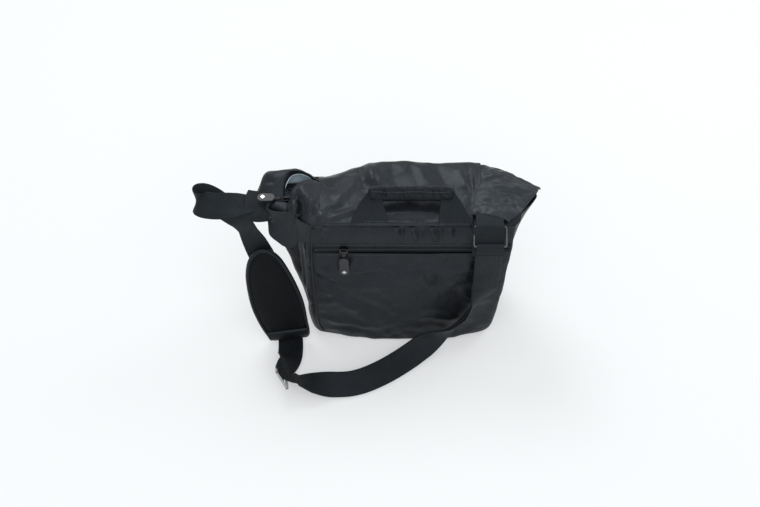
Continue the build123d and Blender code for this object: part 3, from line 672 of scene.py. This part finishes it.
# ------------ left end: lips of the open mouth
near_lip_rows = [
    [(-104, -59, 225), (-112, -58.5, 224.5), (-120, -57.5, 224), (-128, -55, 224), (-135.5, -51, 223),
     (-143, -46, 220), (-150, -40, 219), (-156, -35, 221), (-160, -29, 225)],
    [(-104, -50, 234), (-112, -48, 235), (-120, -45, 235), (-128, -40, 238), (-134.5, -33, 239.5),
     (-139.5, -27, 232), (-146, -31, 236), (-152, -29, 236), (-157.5, -24, 232)],
    [(-104, -36, 236), (-113, -32, 240), (-121, -28, 243), (-129, -25, 246.5), (-136, -21, 246.5),
     (-142, -17, 239), (-148, -20, 242), (-153, -20, 239.5), (-157.5, -19, 233)],
    [(-105, -16, 237), (-114, -13, 241), (-123, -10, 246), (-131, -9, 249.5), (-138, -8, 250),
     (-144, -8, 246.5), (-149, -12, 244.5), (-153, -15, 239.5), (-157, -16, 233.5)],
    [(-106, 8, 236), (-118, 13, 242), (-128, 14, 246.5), (-136, 11.5, 247.5), (-143, 7, 247),
     (-148, 1, 245.5), (-151.5, -5, 242.5), (-154.5, -11, 237.5), (-156.5, -14, 233)],
    [(-106, 10, 231), (-118, 15, 236), (-129, 17, 240), (-138, 14, 240), (-145, 9, 240), (-149.5, 3, 238.5),
     (-153, -3, 236), (-155.5, -9, 233), (-156.5, -12, 231)],
]
near_grid = surface(near_lip_rows, 100, 120)
NEAR_FOLDS = [
    ((-150, -22, 241), (-140, -3, 249), 2.6, 2.4),
    ((-146, -16, 244), (-135, 3, 249), 2.4, -2.4),
    ((-139.5, -34, 234), (-143, -16, 244), 2.6, -4.5),
    ((-135, -40, 238), (-134, -14, 248), 3.0, 2.6),
    ((-127, -46, 236), (-122, -16, 246), 4.0, -3.0),
    ((-117, -48, 236), (-112, -20, 241), 3.4, 1.8),
    ((-150, -34, 232), (-154, -18, 240), 2.6, 1.4),
]
near_grid = wrinkled(near_grid, NEAR_FOLDS, [(20, 1.4, 4.4), (8, 0.35, 2.0)])
near_lip = cloth("left_near_lip", near_grid, 1.3)
dress(near_lip, "bag", FLAP)

ear_rows = [
    [(-104, 58, 200), (-122, 58, 202), (-140, 56, 222), (-158, 52, 228), (-176, 46, 232), (-191, 38, 236),
     (-200, 20, 228), (-202, 2, 220), (-197, -14, 216)],
    [(-104, 48, 212), (-122, 46, 216), (-140, 44, 233), (-158, 43, 237), (-175, 39, 241), (-189, 34, 243),
     (-196, 18, 238), (-196, 1, 228.5), (-191, -12, 223.5)],
    [(-105, 37, 225), (-122, 36, 229), (-140, 38, 242), (-156, 37, 246), (-170, 33, 248), (-180, 25, 247),
     (-185, 11, 241.5), (-184, -1, 232.5), (-180, -10, 227.5)],
    [(-106, 27, 233), (-122, 27, 239), (-139, 33, 246.5), (-153, 33, 249), (-164, 27, 249.5),
     (-171.5, 18, 247.5), (-174.5, 7, 242), (-174, -3, 233.5), (-171, -11, 228.5)],
    [(-106, 20, 236), (-121, 20, 243.5), (-132, 27, 247), (-143, 31, 248), (-156, 29, 249), (-162, 19, 247.5),
     (-165, 8, 243), (-165, -1, 235.5), (-164, -9, 230)],
    [(-106, 22, 230), (-121, 22, 236), (-132, 29, 240), (-143, 33, 240.5), (-154, 30, 241), (-159, 19, 240),
     (-161.5, 8, 236.5), (-162, -1, 231), (-162, -8, 227)],
]
ear_grid = surface(ear_rows, 80, 150)
EAR_FOLDS = [
    ((-192, 28, 244), (-176, 26, 248), 4.0, 1.6),
    ((-190, 16, 240), (-176, 14, 246), 4.0, -1.6),
    ((-189, 2, 234), (-176, 2, 238), 3.6, 1.4),
    ((-150, 44, 238), (-150, 34, 248), 6.0, 1.2),
]
ear_grid = wrinkled(ear_grid, EAR_FOLDS, [(20, 1.3, 8.8)])
left_ear = cloth("left_ear", ear_grid, 1.4)
dress(left_ear, "bag", SHELL, ["left_wing"])

tongue_rows = [
    [(-190, -5, 226), (-181, -7, 229), (-170, -9, 230.5), (-160, -13, 231), (-150, -23, 229),
     (-142, -35, 226)],
    [(-190, -12, 224.5), (-180, -16, 227), (-168, -21, 229), (-156, -29, 228), (-146, -37, 225),
     (-140, -43, 222)],
    [(-187.5, -16, 218), (-178, -22, 218), (-167, -28, 218), (-156, -34, 217), (-147, -40, 215),
     (-141, -45, 213)],
    [(-186, -25, 204), (-177, -29, 203), (-167, -33, 202), (-157, -38, 201), (-149, -43, 200),
     (-143, -47, 199)],
    [(-184.5, -33, 190), (-175, -37, 187.5), (-166, -40, 186), (-158, -43, 185), (-152, -46, 185),
     (-147, -48, 186)],
    [(-176, -39, 184), (-170, -41.5, 181.5), (-164, -44, 179.5), (-159, -45.5, 178), (-155, -47, 177.5),
     (-151, -48.5, 178.5)],
    [(-168, -43, 179), (-165, -44, 177.8), (-162, -45, 177), (-159, -46, 176.3), (-156, -47, 176),
     (-153.5, -48, 177)],
]
tongue_grid = wrinkled(surface(tongue_rows, 60, 60), [((-186, -26, 204), (-143, -46, 204), 1.6, -0.9)],
                       [(18, 1.3, 5.7)])
CORNER_ROWS = [
    [(-196, -10, 219), (-190, -14, 221), (-182, -18, 224), (-172, -22, 226), (-163, -24, 227),
     (-156, -26, 227)],
    [(-192, -12, 223), (-186, -12, 226.5), (-179, -11, 229), (-171, -11, 230), (-164, -13, 230.5),
     (-158, -17, 231)],
    [(-192, -8, 224), (-186, -5, 227), (-179, -4, 229), (-171, -3, 229.5), (-165, -5, 229), (-159, -9, 229)],
]
corner = cloth("left_mouth_corner", wrinkled(surface(CORNER_ROWS, 40, 60), [], [(12, 0.9, 3.4)]), 1.2)
dress(corner, "bag", SHELL)
WRAP_ROWS = [
    [(-214, -30, 216), (-206, -31, 214), (-197, -31, 213), (-188, -30, 213), (-180, -28, 213)],
    [(-216, -27, 223), (-207, -28, 221.5), (-197, -28, 221), (-188, -27, 221), (-180, -25, 221)],
    [(-216, -14, 228), (-207, -14, 225), (-197, -14, 224.5), (-188, -14, 224.5), (-180, -14, 224.5)],
    [(-216, 3, 229), (-207, 3, 226), (-197, 3, 225), (-188, 3, 225), (-180, 3, 225)],
    [(-214, 15, 227), (-206, 16, 224), (-197, 16, 223), (-188, 16, 223), (-180, 16, 223)],
]
wrap = cloth("left_strap_wrap", surface(WRAP_ROWS, 50, 40)[:, ::-1], 1.4)
dress(wrap, "left_ring", WEBBING)
tongue = cloth("left_anchor_tongue", tongue_grid[:, ::-1], 1.4)
dress(tongue, "bag", SHELL, ["left_anchor_patch"])

inside_rows = [
    [(-104, 22, 232), (-121, 24, 236), (-133, 28, 241), (-143, 31, 242), (-153, 28, 242),
     (-158.5, 18, 241), (-162, 7, 237), (-163, -3, 231), (-160, -9, 227), (-155, -9, 229), (-149, 2, 235),
     (-140, 11, 238), (-128, 14, 238), (-112, 12, 232)],
    [(-104, 26, 222), (-121, 30, 225), (-134, 34, 229), (-146, 36, 230), (-157, 32, 230), (-164, 19, 228),
     (-168, 5, 223), (-169, -8, 217), (-166, -18, 214), (-160, -20, 214), (-152, -12, 218),
     (-140, 0, 221), (-126, 6, 221), (-110, 4, 218)],
    [(-90, 44, 180), (-120, 45, 180), (-134, 44, 182), (-144, 40, 184), (-152, 32, 186), (-158, 18, 186),
     (-160, 2, 184), (-158, -12, 182), (-152, -20, 180), (-144, -22, 180), (-136, -20, 180),
     (-124, -16, 180), (-110, -16, 180), (-96, -18, 180)],
    [(-80, 44, 120), (-108, 44, 120), (-122, 42, 120), (-132, 36, 120), (-138, 28, 120), (-141, 14, 120),
     (-141, 0, 120), (-138, -14, 120), (-132, -22, 120), (-124, -25, 120), (-116, -26, 120),
     (-106, -26, 120), (-96, -26, 120), (-86, -26, 120)],
    [(-80, 30, 60), (-98, 32, 60), (-110, 31, 60), (-117, 26, 60), (-121, 18, 60), (-122, 8, 60),
     (-122, -4, 60), (-119, -14, 60), (-113, -19, 60), (-106, -21, 60), (-100, -22, 60), (-94, -22, 60),
     (-88, -22, 60), (-82, -22, 60)],
]
INSIDE_ROWS = 90
inside_grid = surface(inside_rows, INSIDE_ROWS, 150)
inside_keep = np.clip(np.arange(INSIDE_ROWS) / 12.0, 0, 1)[:, None]
inside_grid = wrinkled(inside_grid, [((-150, 34, 235), (-140, 34, 190), 5.0, 2.0)],
                       [(24, 2.0, 6.1), (10, 0.8, 1.2)], keep=inside_keep)
inner_bag = cloth("lining_at_mouth", inside_grid, 0.8)
dress(inner_bag, "bag", LINING, ["lining", "rear_panel", "roof_rear", "roof_front"])

# ------------ right ear
right_rows = [
    [(96, 60, 226), (116, 56, 232), (136, 42, 236), (156, 26, 238), (172, 13, 239), (184, 3, 239)],
    [(97, 54, 236), (117, 46, 241), (136, 33, 243.5), (154, 20, 245), (169, 9, 246), (182, 0, 245.5)],
    [(98, 30, 241), (116, 24, 245), (134, 15, 247), (150, 7, 248.5), (165, -2, 248.5), (178, -9, 246)],
    [(97, 2, 241), (114, -2, 245.5), (130, -6, 247.5), (146, -11, 248.5), (158, -16, 246.5), (168, -21, 242)],
    [(94, -24, 239), (109, -27, 243.5), (124, -31, 245), (137, -35, 245.5), (147, -37, 243.5),
     (154, -40, 240)],
    [(90, -40, 239), (104, -43, 242), (116, -46, 242.8), (126, -48.5, 242.8), (134, -51, 241),
     (139, -53, 238.5)],
    [(90, -41, 236), (104, -44.5, 239), (116, -48, 240), (126, -50.5, 240), (134, -52.5, 238),
     (139, -54, 235.5)],
]
right_grid = surface(right_rows, 120, 110)
RIGHT_FOLDS = [
    ((104, 16, 245), (140, 22, 246), 3.4, 3.0),
    ((140, 22, 246), (172, 4, 247), 4.0, 1.6),
    ((104, 32, 244), (126, 34, 244), 3.6, -2.4),
    ((108, 44, 242), (116, 26, 245), 3.0, 1.8),
    ((122, 40, 242), (132, 26, 245), 3.0, -1.6),
    ((110, 6, 245), (166, -6, 248), 4.5, -2.2),
    ((118, -6, 246), (156, -16, 247), 3.6, 1.8),
    ((104, -16, 243), (140, -24, 246), 4.0, -1.2),
    ((110, -24, 244), (126, -40, 244), 3.4, 1.3),
    ((140, -20, 247), (148, -34, 245), 3.0, -1.4),
]
right_grid = wrinkled(right_grid, RIGHT_FOLDS, [(22, 2.4, 3.3), (9, 1.1, 7.1)])
right_ear = cloth("right_ear", right_grid, 1.4)
# The right ear wears the lighter copy of the shell nylon: painted light.
dress(right_ear, "bag", LIT_EAR_NYLON, ["right_wing"])
ring_band_rows = [[(x, y, z) for x in np.linspace(88.5, 131, 6)] for y, z in
                  ((-65.5, 240), (-70.5, 234), (-74.5, 228), (-79, 221.5), (-83, 214.5), (-86.8, 207))]
ring_band = cloth("right_ring_band", surface(ring_band_rows, 50, 60), 1.4)
dress(ring_band, "right_ring", WEBBING)
under_band_rows = [
    [(84, -57.6, 229), (100, -58, 229.5), (116, -58, 230), (132, -57, 230), (146, -53, 229), (154, -46, 228)],
    [(84, -50, 231), (100, -50.5, 232), (116, -51, 232.5), (132, -51, 232.5), (146, -47, 233),
     (155, -42, 233)],
    [(84, -42, 233), (100, -42, 233), (116, -42, 233), (132, -43, 234), (146, -39, 238), (156, -36, 238)],
    [(84, -32, 235), (100, -32, 237), (116, -33, 239), (132, -34, 240), (146, -33, 240), (156, -30, 240)],
]
under_band = cloth("right_under_band", surface(under_band_rows, 50, 60), 1.2)
dress(under_band, "bag", SHELL)
CROSS = [(102, -12), (145, -17), (129, -44), (96, -38)]
for number, (a, b) in enumerate(((0, 1), (1, 2), (2, 3), (3, 0), (0, 2), (1, 3))):
    stitches(f"cross_stitch_{number}", draped(right_grid, [CROSS[a], CROSS[b]], 0.5), "bag")
stitches("right_hem_stitch", draped(right_grid, [(99, -41.5), (115, -44.5), (133, -49)], 0.5), "bag")

# ------------ handle
LEAN = math.radians(31)


def on_handle(x, reach, rise=0.0):
    """A point in the handle's own leaning plane: across, up the handle from its seam, off the plane."""
    y = -60 + reach * math.cos(LEAN) - rise * math.sin(LEAN)
    z = 231 + reach * math.sin(LEAN) + rise * math.cos(LEAN)
    return (x, y, z)


for name, low_left, low_right, top_left, top_right in (("left", -73, -22, -50, -34),
                                                       ("right", 44, 88, 50, 66)):
    rows = []
    for s, rise in ((0.0, 0.5), (0.25, 1.6), (0.5, 2.4), (0.75, 3.0), (1.0, 2.5)):
        pinch = s ** 1.6
        left = low_left + (top_left - low_left) * pinch
        right = low_right + (top_right - low_right) * pinch
        rows.append([on_handle(x, 1 + 46 * s, rise + 2.2 * s * abs(k)) for k, x in
                     zip(np.linspace(-1, 1, 5), np.linspace(left, right, 5))])
    dress(cloth(f"handle_foot_{name}", surface(rows, 40, 40), 1.8), "handle", WEBBING)
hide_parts("handle_webbing")

grip_rows = []
for x in np.linspace(-49, 66, 24):
    end = min(1.0, (x + 50) / 7, (67 - x) / 7)
    swell = 1 + 0.12 * math.sin(x / 4.1) + 0.07 * math.sin(x / 1.9 + 1)
    ring = []
    for s in range(14):
        turn = math.tau * s / 14
        pinch = 1 - 0.14 * math.exp(-((math.degrees(turn) - 90) / 18) ** 2)
        ring.append(on_handle(x, 47 + 10.5 * math.cos(turn) * (0.7 + 0.3 * end),
                              7.4 * math.sin(turn) * swell * pinch * (0.45 + 0.55 * end)))
    grip_rows.append(ring)
grip_grid = surface(grip_rows, 180, 90, closed=True)
GRIP_FOLDS = [((x, -14, 262), (x + 5, -30, 258), 2.2, height) for x, height in
              ((-40, 1.2), (-31, -1.1), (-20, 1.2), (-9, -1.2), (2, 1.3), (12, -1.3), (24, 1.2), (35, -1.2),
               (46, 1.2), (57, -1.0))]
grip_grid = wrinkled(grip_grid, GRIP_FOLDS, [(9, 1.0, 3.9), (4, 0.3, 7.7)], closed=True)
grip = cloth("handle_grip_wrap", grip_grid, 1.0, closed=True)
dress(grip, "handle", GRIP, ["handle_grip", "handle_core"])

stitches("grip_seam", [on_handle(x, 47 + 0.6 * math.sin(x / 9), 7.6) for x in np.linspace(-44, 61, 90)],
         "handle", up=on_handle(0, 0, 1))
for name, left, right in (("left", -72, -23), ("right", 45, 87)):
    stitches(f"foot_stitch_{name}", [on_handle(x, 5, 2.2) for x in np.linspace(left, right, 40)], "handle")

# ------------ other seams
for name, z, y in (("upper", 199.5, -62.4), ("lower", 180.5, -62.2)):
    stitches(f"pocket_stitch_{name}", [(x, y, z) for x in np.linspace(-120, 132, 160)], "bag", up=(0, -1, 0))
# Only the rows that lie on top of the bag are looked at for each flap stitch.
for name, rows_on_top, route, lift, count in (
        ("flap_seam_stitch", 80, [(-105, -53), (-40, -53), (40, -53), (88, -53)], 0.4, 160),
        ("flap_left_stitch", 120, [(-105, -50), (-109, -30), (-111, 0), (-113, 22)], 0.5, 80),
        ("flap_right_stitch", 150, [(88, -46), (91, -24), (97, 0), (101, 24), (102, 44)], 0.5, 90)):
    stitches(name, draped(flap_grid[:rows_on_top], route, lift, count), "flap")

# ------------ shoulder pad
PAD_UP = np.array(Vector((-28, 25, 162)).normalized())
PAD_SIDE = np.array([1.0, 0, 0]) - PAD_UP * PAD_UP[0]
PAD_SIDE /= np.linalg.norm(PAD_SIDE)
PAD_OUT = np.cross(PAD_SIDE, PAD_UP)
PAD_FOOT = np.array([-166.0, -70, 11])
PAD_MIDDLE = np.array([-3.0, 78.0])


def on_pad(across, up, out):
    return PAD_FOOT + PAD_SIDE * across + PAD_UP * up + PAD_OUT * out


def pad_ring(size, out):
    """The pad's outline, shrunk about its middle and lifted off the pad's plane."""
    return [on_pad(*(PAD_MIDDLE + (point - PAD_MIDDLE) * size), out) for point in outline]


pad_outline = [(-25, 0), (-31, 14), (-36, 40), (-38, 70), (-35, 105), (-30, 130), (-20, 152), (-5, 164),
               (8, 160), (18, 146), (25, 120), (30, 90), (32, 60), (30, 28), (27, 0), (14, -1), (0, -1.5),
               (-13, -1)]
outline = spline(pad_outline, 220, closed=True)
face_grid = np.array([pad_ring(s, 6.6 - 3.6 * s**4 - 3.2 * s**12)[::-1]
                      for s in np.linspace(0.002, 1, 24)[::-1]])
back_grid = np.array([pad_ring(s, -5.5 + 3.5 * s**6) for s in np.linspace(1, 0.002, 14)[::-1]])
face = cloth("pad_mesh_cover", face_grid, 1.0, closed=True)
on_face = face_grid.reshape(-1, 3) - PAD_FOOT
coords = np.stack([on_face @ PAD_SIDE, on_face @ PAD_UP, np.zeros(len(on_face))], axis=1)
face.data.attributes["weave"].data.foreach_set("vector", (np.concatenate([coords, coords]) * MM).ravel())
dress(face, "bag", MESH, ["pad_mesh_face", "pad_foam"])
back = cloth("pad_back_cover", back_grid, 1.0, closed=True)
dress(back, "bag", PAD, ["pad_back", "pad_sleeve"])
rim_path = [on_pad(u, v, 0.2) for u, v in np.concatenate([outline, outline[:2]])]
piping = tube("pad_edge_piping", rim_path, 3.2, 10, PAD_OUT)
dress(piping, "bag", PIPING, ["pad_piping"])
binding_rows = [[on_pad(x, v, out) for x in np.linspace(-27 - v * 0.2, 28.5 + v * 0.1, 7)]
                for v, out in ((-1, 2.0), (1, 6.4), (7, 8.4), (14, 7.8), (17, 5.6))]
binding = cloth("pad_lower_binding", surface(binding_rows, 24, 60), 1.0)
dress(binding, "bag", PIPING, ["pad_end_binding"])

# ------------ materials of the CAD pieces that show
LOOKS = (
    (NICKEL, "right_ring", "left_ring"),
    (GLIDE, "tri_glide"),
    # The main slider and its link take the darker copy of the zip metal: painted shade.
    (SHADED_ZIP_METAL, "main_zip_slider", "main_pull_link"),
    (GUNMETAL, "pocket_zip_slider", "pocket_pull_link", "main_zip_stops", "pocket_zip_stops"),
    (TAB, "main_pull_tab", "pocket_pull_tab", "base_stiffener"),
    (BRIGHT, "main_pull_rivet", "pocket_pull_rivet"),
    (TAPE, "main_zip_tape_rear", "main_zip_tape_front", "pocket_zip_tapes", "flap_hook_strip",
     "front_loop_strip"),
    (COIL, "main_zip_teeth_rear", "main_zip_teeth_front", "pocket_zip_teeth"),
    (WEBBING, "right_anchor_loop", "left_anchor_loop", "right_strap_end", "left_strap_end"),
    (PATCH, "right_anchor_patch"),
)
for material, *names in LOOKS:
    for name in names:
        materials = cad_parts[name].data.materials
        materials.clear()
        materials.append(material)

# ------------ floor, light
FLOOR_HALF = 6
# Painted light: the floor glows a little as well as reflecting the lamps, which lifts the shadow under the
# bag.
FLOOR_GLOW = 0.40
WORLD_STRENGTH = 0.74
LIGHT_TINT = (0.97, 0.99, 1.0)
floor_mesh = bpy.data.meshes.new("floor")
corners = [(x * FLOOR_HALF, y * FLOOR_HALF, 0) for x, y in ((-1, -1), (1, -1), (1, 1), (-1, 1))]
floor_mesh.from_pydata(corners, [], [(0, 1, 2, 3)])
floor = add_object("floor", floor_mesh)
floor_material, _, floor_shader = nodes_of("floor_paper", (0.45, 0.453, 0.457), 0.8, specular=0.1)
floor_shader.inputs["Emission Color"].default_value = (0.985, 0.993, 1.0, 1)
floor_shader.inputs["Emission Strength"].default_value = FLOOR_GLOW
floor_mesh.materials.append(floor_material)

world = bpy.data.worlds.new("studio")
bpy.context.scene.world = world
world.use_nodes = True
sky = world.node_tree.nodes["Background"].inputs
sky["Color"].default_value = (0.95, 0.985, 1.0, 1)
sky["Strength"].default_value = WORLD_STRENGTH


def area_light(name, place, aim, size, power):
    data = bpy.data.lights.new(name, "AREA")
    data.shape = "DISK"
    data.size = size
    data.energy = power
    data.color = LIGHT_TINT
    lamp = add_object(name, data)
    lamp.location = place
    lamp.rotation_euler = (Vector(aim) - Vector(place)).to_track_quat("-Z", "Y").to_euler()


area_light("overhead", (-0.7, 1.2, 2.1), (0, 0, 0.1), 1.2, 20)
area_light("right_rear", (1.5, 0.9, 1.4), (0, 0, 0.15), 0.9, 9)
area_light("front_fill", (0.1, -1.9, 2.2), (0, 0, 0.1), 3.4, 36)
bpy.context.scene.view_settings.view_transform = "Standard"
